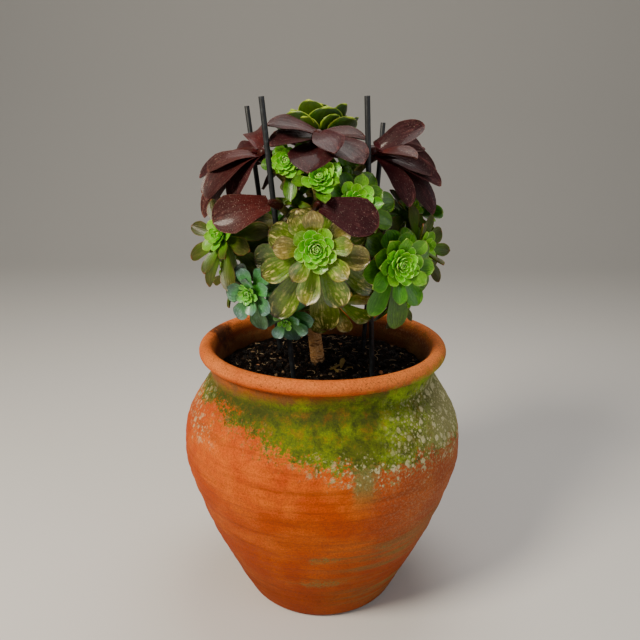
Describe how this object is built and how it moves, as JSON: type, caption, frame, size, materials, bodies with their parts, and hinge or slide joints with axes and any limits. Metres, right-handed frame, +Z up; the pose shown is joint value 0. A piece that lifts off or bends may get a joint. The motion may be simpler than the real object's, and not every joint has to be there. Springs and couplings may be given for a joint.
{
  "type": "potted aeonium",
  "caption": "Branched tree aeonium with green, bronze and near-black purple leaf rosettes in a bellied terracotta jar, steadied by thin dark canes.",
  "frame": {"origin": "centre of the jar's flat foot, on the plane it stands on", "axes": "+Z up, -Y towards the front of the plant, +X to its right as seen from the front"},
  "size_m": [0.2846, 0.2846, 0.5102],
  "materials": {
    "terracotta": "matte",
    "potting_mix": "matte",
    "stem_bark": "matte",
    "cane_plastic": "matte",
    "bronze_leaf": "satin",
    "green_leaf": "satin",
    "mint_leaf": "satin",
    "olive_leaf": "satin",
    "cup_leaf": "satin",
    "purple_leaf": "gloss"
  },
  "bodies": {
    "root": {"terracotta_jar": "terracotta", "potting_mix": "potting_mix", "stem": "stem_bark", "cane_front_left": "cane_plastic", "cane_front_right": "cane_plastic", "cane_back_left": "cane_plastic", "cane_back_right": "cane_plastic", "leaf_left": "purple_leaf", "leaf_right": "purple_leaf", "rosette_front": "bronze_leaf", "rosette_front_right": "green_leaf", "crown_skirt": "purple_leaf", "rosette_left": "olive_leaf", "rosette_upper_right": "green_leaf", "rosette_upper": "green_leaf", "rosette_upper_left": "green_leaf", "rosette_low_left": "mint_leaf", "rosette_low_front": "bronze_leaf", "rosette_low_front_left": "mint_leaf", "crown_cup": "cup_leaf", "purple_left": "purple_leaf", "purple_right": "purple_leaf", "rosette_right": "olive_leaf", "rosette_right_upper": "olive_leaf", "rosette_low_right": "olive_leaf", "rosette_low_left_side": "olive_leaf", "rosette_left_back": "bronze_leaf", "rosette_back_left": "green_leaf", "rosette_back": "bronze_leaf", "rosette_back_right": "olive_leaf", "rosette_right_back": "green_leaf", "rosette_back_upper": "green_leaf", "purple_back": "purple_leaf", "rosette_low_back_left": "mint_leaf", "rosette_low_back_right": "olive_leaf", "rosette_inner_right": "olive_leaf", "rosette_inner_left": "olive_leaf"}
  },
  "joints": []
}
